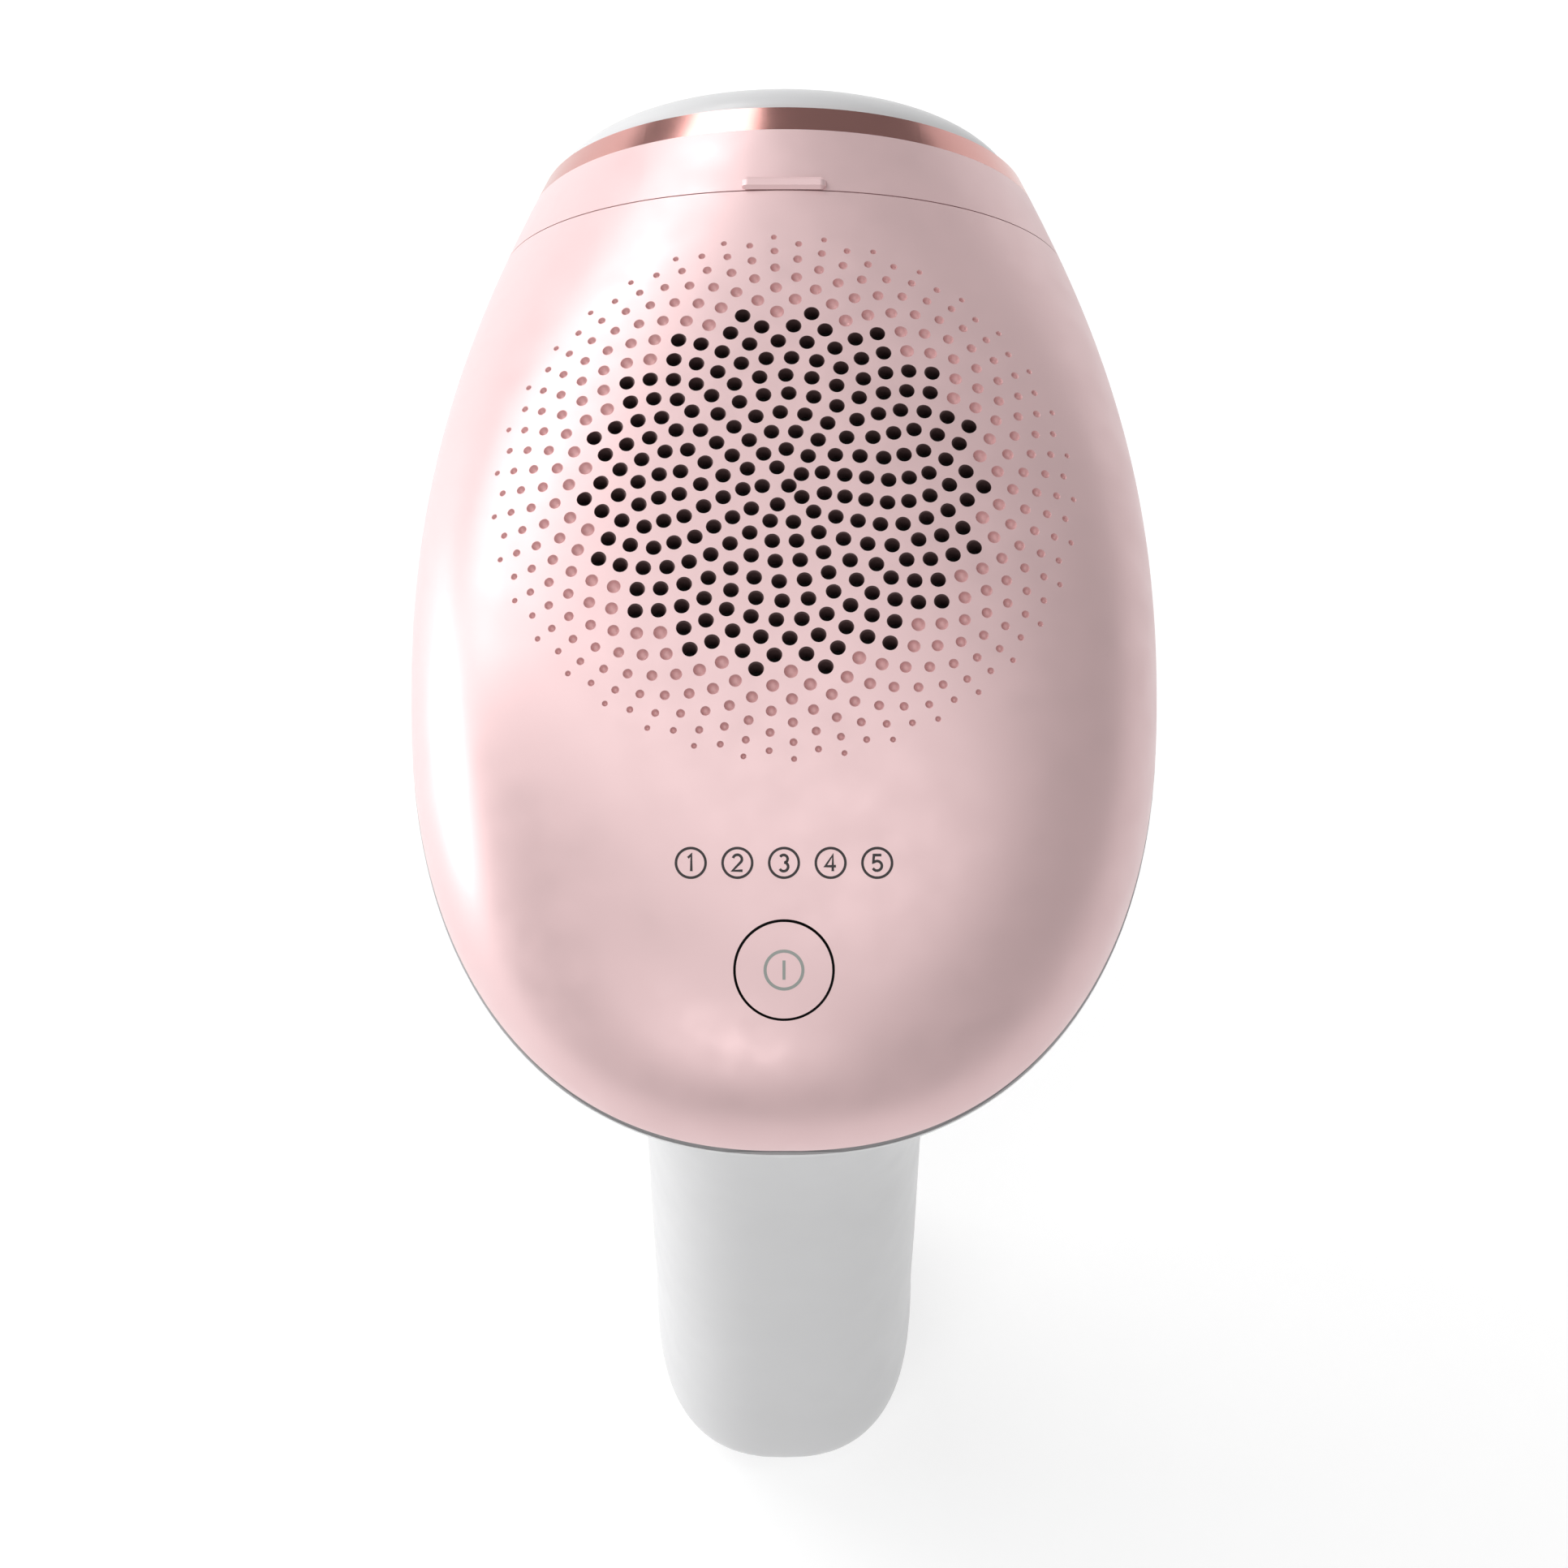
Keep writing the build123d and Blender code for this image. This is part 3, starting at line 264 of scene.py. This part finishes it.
def vent_cutters():
    points, faces, slots = [], [], []
    spin = VENT.to_3x3()
    for radius, angle, through, size in vent_sites():
        point = on_dome(VENT, radius * math.cos(angle), radius * math.sin(angle))
        if through:
            place = Matrix.Translation(point) @ spin.to_4x4()
            profile = [(0, 0.8), (size + 0.22, 0.8), (size + 0.16, 0.06), (size + 0.05, -0.08),
                       (size, -0.22), (size, -5.5), (0, -5.5)]
            # Slot 1 gives these hole walls the painted-shade colour.
            lathe(points, faces, slots, place, profile, 1, 28)
        else:
            normal = Vector(dome_normals(np.array([point]))[0])
            depth = 0.2 + 0.6 * size
            profile = [(0, 0.4), (size + 0.12, 0.4), (size + 0.04, 0.03), (size - 0.03, -0.08)]
            for step in (0.35, 0.65, 0.87, 0.97):
                profile.append(((size - 0.05) * math.sqrt(1 - step ** 2) ** 0.8, -depth * step))
            profile.append((0, -depth))
            # Slot 2 gives the dimples their painted-shade colour.
            lathe(points, faces, slots, upright(point, normal), profile, 2, 24)
    profile = [(0, 3.0), (BUTTON_RADIUS + BUTTON_GAP + 0.3, 3.0), (BUTTON_RADIUS + BUTTON_GAP, -0.05),
               (BUTTON_RADIUS + BUTTON_GAP, -6.0), (0, -6.0)]
    lathe(points, faces, slots, BUTTON, profile, 1, 96)
    return make_object("vent_cutters", points, faces, [], slots)


def cut_with(obj, cutters):
    """Takes the cutters out of an object, keeping their material slots on the new faces."""
    modifier = obj.modifiers.new("cut", "BOOLEAN")
    modifier.operation = "DIFFERENCE"
    modifier.solver = "MANIFOLD"
    modifier.object = cutters
    depsgraph = bpy.context.evaluated_depsgraph_get()
    mesh = bpy.data.meshes.new_from_object(obj.evaluated_get(depsgraph))
    obj.modifiers.clear()
    obj.data = mesh
    bpy.data.objects.remove(cutters)


def face_normals_by_slot(mesh, field_normals, on_field):
    """Corner normals: the true dome's on its outer face, smooth within each slot elsewhere."""
    count = len(mesh.loops)
    loop_vertex = np.empty(count, dtype=np.int64)
    mesh.loops.foreach_get("vertex_index", loop_vertex)
    faces = len(mesh.polygons)
    start = np.empty(faces, dtype=np.int64)
    total = np.empty(faces, dtype=np.int64)
    slot = np.empty(faces, dtype=np.int64)
    flat = np.empty(faces * 3)
    area = np.empty(faces)
    mesh.polygons.foreach_get("loop_start", start)
    mesh.polygons.foreach_get("loop_total", total)
    mesh.polygons.foreach_get("material_index", slot)
    mesh.polygons.foreach_get("normal", flat)
    mesh.polygons.foreach_get("area", area)
    flat = flat.reshape(-1, 3)
    owner = np.repeat(np.arange(faces), total)
    points = np.empty(len(mesh.vertices) * 3)
    mesh.vertices.foreach_get("co", points)
    points = points.reshape(-1, 3) / MM
    smooth = flat[owner].copy()
    for kind in (1, 2):
        chosen = slot[owner] == kind
        sums = np.zeros_like(points)
        np.add.at(sums, loop_vertex[chosen], flat[owner[chosen]] * area[owner[chosen], None])
        smooth[chosen] = sums[loop_vertex[chosen]]
    true = field_normals(points)
    near = on_field(points)
    use = (slot[owner] == 0) & near[loop_vertex]
    use &= np.einsum("ij,ij->i", flat[owner], true[loop_vertex]) > 0.8
    smooth[use] = true[loop_vertex[use]]
    smooth /= np.maximum(np.linalg.norm(smooth, axis=1, keepdims=True), 1e-12)
    mesh.shade_smooth()
    mesh.normals_split_custom_set(smooth.tolist())


def make_top_shell(pearl, hole_wall_shade, dimple_shade):
    rows, count = SHELL_ROWS, SHELL_COUNT
    outer = shell_rows(0.0, rows, count, SEAM_REACH)
    inner = shell_rows(WALL, rows, count, SEAM_REACH)
    points = [p for row in outer for p in row] + [p for row in inner for p in row]
    base = rows * count
    last = count - 1
    faces = []
    for i in range(rows - 1):
        for j in range(last):
            a = i * count + j
            faces.append((a, a + count, a + count + 1, a + 1))
            faces.append((base + a, base + a + 1, base + a + count + 1, base + a + count))
        a, b = i * count, (i + 1) * count
        faces.append((a, base + a, base + b, b))
        faces.append((a + last, b + last, base + b + last, base + a + last))
    front = (rows - 1) * count
    for j in range(last):
        faces.append((front + j, base + front + j, base + front + j + 1, front + j + 1))
    faces.append(tuple(range(count)))
    faces.append(tuple(base + j for j in reversed(range(count))))
    faces.append((0, last, base + last, base))
    shell = make_object("top_shell_pearl", points, faces, [pearl, hole_wall_shade, dimple_shade], [0] * len(faces))
    work = bmesh.new()
    work.from_mesh(shell.data)
    bmesh.ops.recalc_face_normals(work, faces=work.faces)
    work.to_mesh(shell.data)
    work.free()
    cut_with(shell, vent_cutters())
    face_normals_by_slot(shell.data, dome_normals, lambda p: np.abs(dome_level(p) - 1) < 0.004)
    return shell


# ---- Marks on the dome --------------------------------------------------------------------------------
def arc_points(x, y, radius, start, end, count=14):
    """Points along an arc, angles in degrees."""
    turns = [math.radians(start + (end - start) * i / (count - 1)) for i in range(count)]
    return [(x + radius * math.cos(t), y + radius * math.sin(t)) for t in turns]


DIGITS = {
    1: [[(-0.17, 0.30), (0.03, 0.5), (0.03, -0.5)]],
    2: [arc_points(0, 0.22, 0.27, 165, -40) + [(-0.29, -0.47), (0.31, -0.47)]],
    3: [arc_points(-0.02, 0.24, 0.24, 150, -80), arc_points(-0.02, -0.23, 0.27, 84, -150)],
    4: [[(0.32, -0.2), (-0.32, -0.2), (0.13, 0.47), (0.13, -0.5)]],
    5: [[(0.25, 0.47), (-0.2, 0.47), (-0.235, 0.03)] + arc_points(-0.01, -0.18, 0.29, 128, -150)],
}


def ribbon(points, faces, line, width, x, y, closed=False):
    """Flat strip along a line of (x, y) points, mitred at its corners, added around (x, y)."""
    base = len(points)
    count = len(line)
    for i in range(count):
        before = line[(i - 1) % count] if closed or i > 0 else line[i]
        after = line[(i + 1) % count] if closed or i < count - 1 else line[i]
        here = Vector(line[i])
        first = (here - Vector(before)) if before != line[i] else (Vector(after) - here)
        second = (Vector(after) - here) if after != line[i] else first
        side = first.normalized() + second.normalized()
        side = Vector((-side.y, side.x)).normalized()
        edge = Vector((-first.y, first.x)).normalized()
        reach = width / 2 / max(0.6, side.dot(edge))
        for sign in (1, -1):
            spot = here + side * reach * sign
            points.append((x + spot.x, y + spot.y))
    for i in range(count if closed else count - 1):
        a, b = base + 2 * i, base + 2 * ((i + 1) % count)
        faces.append((a, a + 1, b + 1, b))


def inlay(name, place, points, faces, material, thick=0.035):
    """Thin solid marking laid on the dome from flat (x, y) points in a frame of it."""
    solid, count = [], len(points)
    spots = [on_dome(place, x, y) for x, y in points]
    normals = dome_normals(np.array([tuple(spot) for spot in spots]))
    for lift in (thick * 0.5, -thick * 0.5):
        solid += [spot + Vector(normal) * lift for spot, normal in zip(spots, normals)]
    walls = {}
    for face in faces:
        for i in range(len(face)):
            edge = (face[i], face[(i + 1) % len(face)])
            if edge[::-1] in walls:
                del walls[edge[::-1]]
            else:
                walls[edge] = True
    skin = list(faces) + [tuple(count + i for i in reversed(face)) for face in faces]
    skin += [(b, a, count + a, count + b) for a, b in walls]
    mark = make_object(name, solid, skin, [material])
    work = bmesh.new()
    work.from_mesh(mark.data)
    bmesh.ops.recalc_face_normals(work, faces=work.faces)
    work.to_mesh(mark.data)
    work.free()
    return mark


def make_level_marks(material):
    """Circled numerals one to five above the power button."""
    points, faces = [], []
    for level in range(1, LIGHT_COUNT + 1):
        x = (level - (LIGHT_COUNT + 1) / 2) * LIGHT_PITCH
        ribbon(points, faces, arc_points(0, 0, CIRCLE_RADIUS, 0, 352.5, 48), CIRCLE_STROKE, x, LIGHT_OFFSET,
               closed=True)
        for line in DIGITS[level]:
            ribbon(points, faces, [(u * DIGIT_SIZE, v * DIGIT_SIZE) for u, v in line], DIGIT_STROKE, x,
                   LIGHT_OFFSET)
    return inlay("intensity_numerals", BUTTON, points, faces, material)


def make_power_icon(material):
    """Ring and bar on the power button's cap."""
    points, faces = [], []
    ribbon(points, faces, arc_points(0, 0, ICON_RADIUS, 0, 355, 72), ICON_STROKE, 0, 0, closed=True)
    bar = [(0, -BAR_HALF), (0, -0.4), (0, 0.4), (0, BAR_HALF)]
    ribbon(points, faces, bar, BAR_STROKE, 0, 0)
    return inlay("power_icon", BUTTON, points, faces, material)


# ---- Materials ----------------------------------------------------------------------------------------
def srgb(red, green, blue):
    """Linear colour from 0 to 255 screen values."""
    values = [c / 255 for c in (red, green, blue)]
    return tuple(v / 12.92 if v <= 0.04045 else ((v + 0.055) / 1.055) ** 2.4 for v in values) + (1.0,)


def new_material(name):
    material = bpy.data.materials.new(name)
    material.use_nodes = True
    tree = material.node_tree
    return material, tree, tree.nodes["Principled BSDF"]


def noise(tree, scale, detail=3.0, stretch=(1, 1, 1)):
    """Noise in the object's own space, finer with a larger scale."""
    coords = tree.nodes.new("ShaderNodeTexCoord")
    mapping = tree.nodes.new("ShaderNodeMapping")
    mapping.inputs["Scale"].default_value = stretch
    texture = tree.nodes.new("ShaderNodeTexNoise")
    texture.inputs["Scale"].default_value = scale
    texture.inputs["Detail"].default_value = detail
    tree.links.new(coords.outputs["Object"], mapping.inputs["Vector"])
    tree.links.new(mapping.outputs["Vector"], texture.inputs["Vector"])
    return texture.outputs["Fac"]


def ramp(tree, value, low, high, start=0.3, end=0.7):
    """Two-colour ramp driven by a value."""
    node = tree.nodes.new("ShaderNodeValToRGB")
    node.color_ramp.elements[0].position = start
    node.color_ramp.elements[1].position = end
    node.color_ramp.elements[0].color = low
    node.color_ramp.elements[1].color = high
    tree.links.new(value, node.inputs["Fac"])
    return node.outputs["Color"]


def add_bump(tree, shader, value, strength, distance):
    node = tree.nodes.new("ShaderNodeBump")
    node.inputs["Strength"].default_value = strength
    node.inputs["Distance"].default_value = distance
    tree.links.new(value, node.inputs["Height"])
    tree.links.new(node.outputs["Normal"], shader.inputs["Normal"])


def shade(colour, factor):
    return tuple(min(1.0, c * factor) for c in colour[:3]) + (1.0,)


def finish(name, colour, roughness, metallic=0.0, coat=0.0, grain=900.0, bump=0.05, spread=0.04, **extra):
    """Moulded or metal finish with slight colour drift, uneven gloss and a fine grain."""
    material, tree, shader = new_material(name)
    drift = noise(tree, 60.0)
    tree.links.new(ramp(tree, drift, shade(colour, 1 - spread), shade(colour, 1 + spread)),
                   shader.inputs["Base Color"])
    gloss = noise(tree, 220.0, 4.0)
    low, high = max(0.02, roughness * 0.88), min(1.0, roughness * 1.12)
    tree.links.new(ramp(tree, gloss, (low, low, low, 1), (high, high, high, 1)), shader.inputs["Roughness"])
    shader.inputs["Metallic"].default_value = metallic
    shader.inputs["Coat Weight"].default_value = coat
    for key, value in extra.items():
        shader.inputs[key.replace("_", " ")].default_value = value
    add_bump(tree, shader, noise(tree, grain, 2.0), bump, 0.0001)
    return material


def pearl_pink():
    """Satin pearl lacquer: a soft metallic base under a faint coat."""
    return finish("pearl_pink", srgb(232, 200, 201), 0.43, metallic=0.42, coat=0.25, grain=2600.0,
                  bump=0.02, spread=0.012, Coat_Roughness=0.38)


def flat_dark(name, colour, roughness):
    return finish(name, colour, roughness, grain=1500.0, bump=0.1, spread=0.15)


PEARL = pearl_pink()
# Walls of the vent's through-holes in a dark brownish pink: painted shade inside the holes, not the shell's
# own colour.
HOLE_WALL_PAINTED_SHADE = flat_dark("vent_hole_wall_painted_shade", srgb(84, 62, 62), 0.6)
# Blind dimples in a darker pink than the shell: painted shade in their hollows.
DIMPLE_PAINTED_SHADE = finish("pearl_dimple_painted_shade", srgb(212, 168, 168), 0.5, metallic=0.2, grain=2600.0, bump=0.02)
WHITE = finish("white_satin", srgb(208, 208, 209), 0.36, coat=0.15, grain=1800.0, bump=0.03, spread=0.01)
ROSE_GOLD = finish("rose_gold_plate", srgb(208, 154, 148), 0.2, metallic=1.0, grain=500.0, bump=0.01)
SEAL = finish("grey_seal", srgb(128, 126, 127), 0.65, grain=1400.0, bump=0.15)
DARK = flat_dark("black_moulding", srgb(26, 25, 26), 0.5)
NATURAL = finish("natural_moulding", srgb(214, 212, 205), 0.5, grain=1200.0, bump=0.1)
STEEL = finish("bright_steel", srgb(190, 190, 193), 0.25, metallic=1.0, grain=800.0, bump=0.05)
POLISHED = finish("polished_metal", srgb(222, 222, 226), 0.1, metallic=1.0, grain=300.0, bump=0.02)
COPPER = finish("copper_winding", srgb(196, 120, 78), 0.3, metallic=1.0, grain=1600.0, bump=0.3)
FERRITE = flat_dark("ferrite", srgb(52, 52, 55), 0.55)
SLEEVE = finish("capacitor_sleeve", srgb(24, 30, 52), 0.3, coat=0.4, grain=500.0, bump=0.04)
WIRE = finish("red_silicone", srgb(168, 36, 32), 0.45, grain=900.0, bump=0.08)
BOARD = finish("solder_mask", srgb(18, 74, 44), 0.35, coat=0.5, grain=2000.0, bump=0.2, spread=0.12)
MARK = flat_dark("mark_ink", srgb(50, 44, 45), 0.6)
ICON = finish("icon_grey", srgb(150, 155, 150), 0.4, metallic=0.3, grain=1500.0, bump=0.03)


def glass_material():
    material, tree, shader = new_material("filter_glass")
    shader.inputs["Transmission Weight"].default_value = 0.85
    shader.inputs["IOR"].default_value = 1.46
    tint = ramp(tree, noise(tree, 90.0), srgb(196, 214, 226), srgb(226, 216, 236))
    tree.links.new(tint, shader.inputs["Base Color"])
    rough = ramp(tree, noise(tree, 300.0), (0.03, 0.03, 0.03, 1), (0.07, 0.07, 0.07, 1))
    tree.links.new(rough, shader.inputs["Roughness"])
    return material


def mesh_cloth():
    """Fine black weave, as two crossed waves."""
    material, tree, shader = new_material("dust_cloth")
    coords = tree.nodes.new("ShaderNodeTexCoord")
    waves = []
    for direction in ("X", "Y"):
        wave = tree.nodes.new("ShaderNodeTexWave")
        wave.bands_direction = direction
        wave.inputs["Scale"].default_value = 900.0
        tree.links.new(coords.outputs["Object"], wave.inputs["Vector"])
        waves.append(wave.outputs["Fac"])
    crossed = tree.nodes.new("ShaderNodeMath")
    crossed.operation = "MULTIPLY"
    for index, wave in enumerate(waves):
        tree.links.new(wave, crossed.inputs[index])
    tree.links.new(ramp(tree, crossed.outputs[0], srgb(9, 8, 8), srgb(30, 27, 27), 0.2, 0.9),
                   shader.inputs["Base Color"])
    shader.inputs["Roughness"].default_value = 0.9
    add_bump(tree, shader, crossed.outputs[0], 0.4, 0.0001)
    return material


GLASS = glass_material()
CLOTH = mesh_cloth()

NODE_FINISH = {
    "attachment_collar": PEARL, "power_button_cap": PEARL, "attachment_trim_ring": ROSE_GOLD,
    "handle_rear_shell": WHITE, "handle_front_shell": WHITE, "attachment_bezel": WHITE,
    "flash_button": WHITE, "split_gasket": SEAL, "window_seal": SEAL, "capacitor_bung": SEAL,
    "dust_mesh": CLOTH, "light_filter_glass": GLASS, "flash_tube": GLASS, "skin_tone_sensor": GLASS,
    "intensity_leds": GLASS, "reflector": POLISHED, "switch_heat_sink": POLISHED,
    "attachment_inner_frame": POLISHED, "nose_contact_pads": COPPER, "fan_stator": COPPER,
    "transformer_core": FERRITE, "control_board": BOARD, "main_board": BOARD,
    "storage_capacitor": SLEEVE, "inlet_wires": WIRE, "lamp_leads": WIRE,
}
SLOT_FINISH = {"dark_plastic": DARK, "light_plastic": NATURAL, "steel": STEEL}


def dress_nodes():
    slot_of = {row["node"]: row["material_slot"] for row in frame["record"]["subparts"]}
    for name, obj in frame["nodes"].items():
        material = NODE_FINISH.get(name) or SLOT_FINISH.get(slot_of.get(name, ""), NATURAL)
        obj.data.materials.clear()
        obj.data.materials.append(material)


dress_nodes()
top_shell = make_top_shell(PEARL, HOLE_WALL_PAINTED_SHADE, DIMPLE_PAINTED_SHADE)
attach(top_shell, "housing")
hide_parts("top_shell")
level_marks = make_level_marks(MARK)
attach(level_marks, "housing")
power_icon = make_power_icon(ICON)
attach(power_icon, "power_button")


# ---- Stage, light and camera --------------------------------------------------------------------------
VIEW_ELEVATION = math.radians(68.0)
VIEW_SIZE = 176.0        # millimetres across the frame
VIEW_DISTANCE = 3200.0
VIEW_RISE = 41.2         # from the rear tip to the middle of the frame, up the image
SENSOR_WIDTH = 36.0
FLOOR_HALF = 6.0         # metres
FLOOR_DROP = 0.0005      # metres below the handle's end
FLOOR_GLOW = 0.6
WORLD_LIGHT = 0.26


def aim(obj, target):
    obj.rotation_euler = (Vector(target) - obj.location).to_track_quat("-Z", "Y").to_euler()


def make_camera():
    data = bpy.data.cameras.new("camera")
    camera = bpy.data.objects.new("camera", data)
    bpy.context.scene.collection.objects.link(camera)
    up = Vector((0, math.sin(VIEW_ELEVATION), math.cos(VIEW_ELEVATION)))
    back = Vector((0, -math.cos(VIEW_ELEVATION), math.sin(VIEW_ELEVATION)))
    target = (Vector((0, TIP_Y, SPLIT_Z)) + up * VIEW_RISE) * MM
    camera.location = target + back * VIEW_DISTANCE * MM
    camera.rotation_euler = (math.pi / 2 - VIEW_ELEVATION, 0, 0)
    data.sensor_width = SENSOR_WIDTH
    data.lens = SENSOR_WIDTH * VIEW_DISTANCE / VIEW_SIZE
    data.clip_end = 20.0
    bpy.context.scene.camera = camera


def area_light(name, place, target, width, height, power):
    data = bpy.data.lights.new(name, "AREA")
    data.shape = "RECTANGLE"
    data.size, data.size_y = width, height
    data.energy = power
    light = bpy.data.objects.new(name, data)
    bpy.context.scene.collection.objects.link(light)
    light.location = place
    aim(light, target)


def make_stage():
    size = FLOOR_HALF
    points = [(-size, -size, 0), (size, -size, 0), (size, size, 0), (-size, size, 0)]
    floor = make_object("floor", [tuple(c / MM for c in p) for p in points], [(0, 1, 2, 3)])
    material = finish("floor_white", (0.5, 0.5, 0.5, 1.0), 0.9, grain=40.0, bump=0.0, spread=0.004)
    shader = material.node_tree.nodes["Principled BSDF"]
    shader.inputs["Emission Color"].default_value = (1, 1, 1, 1)
    shader.inputs["Emission Strength"].default_value = FLOOR_GLOW
    floor.data.materials.append(material)
    floor.location.z = -FLOOR_DROP
    world = bpy.data.worlds.new("world")
    world.use_nodes = True
    world.node_tree.nodes["Background"].inputs["Color"].default_value = (1, 1, 1, 1)
    world.node_tree.nodes["Background"].inputs["Strength"].default_value = WORLD_LIGHT
    bpy.context.scene.world = world
    middle = (0, 0.03, 0.1)
    area_light("key_left", (-0.8, 0.95, 0.75), middle, 1.4, 0.5, 9.5)
    area_light("top_soft", (-0.15, 0.15, 1.35), middle, 0.8, 2.5, 9.0)
    area_light("rear_soft", (-0.25, -0.88, 0.98), middle, 0.8, 0.5, 3.2)
    area_light("grip_left", (-0.8, 0.12, 0.06), (0, 0, 0.05), 0.3, 0.25, 3.2)


make_camera()
make_stage()
bpy.context.scene.view_settings.view_transform = "Standard"
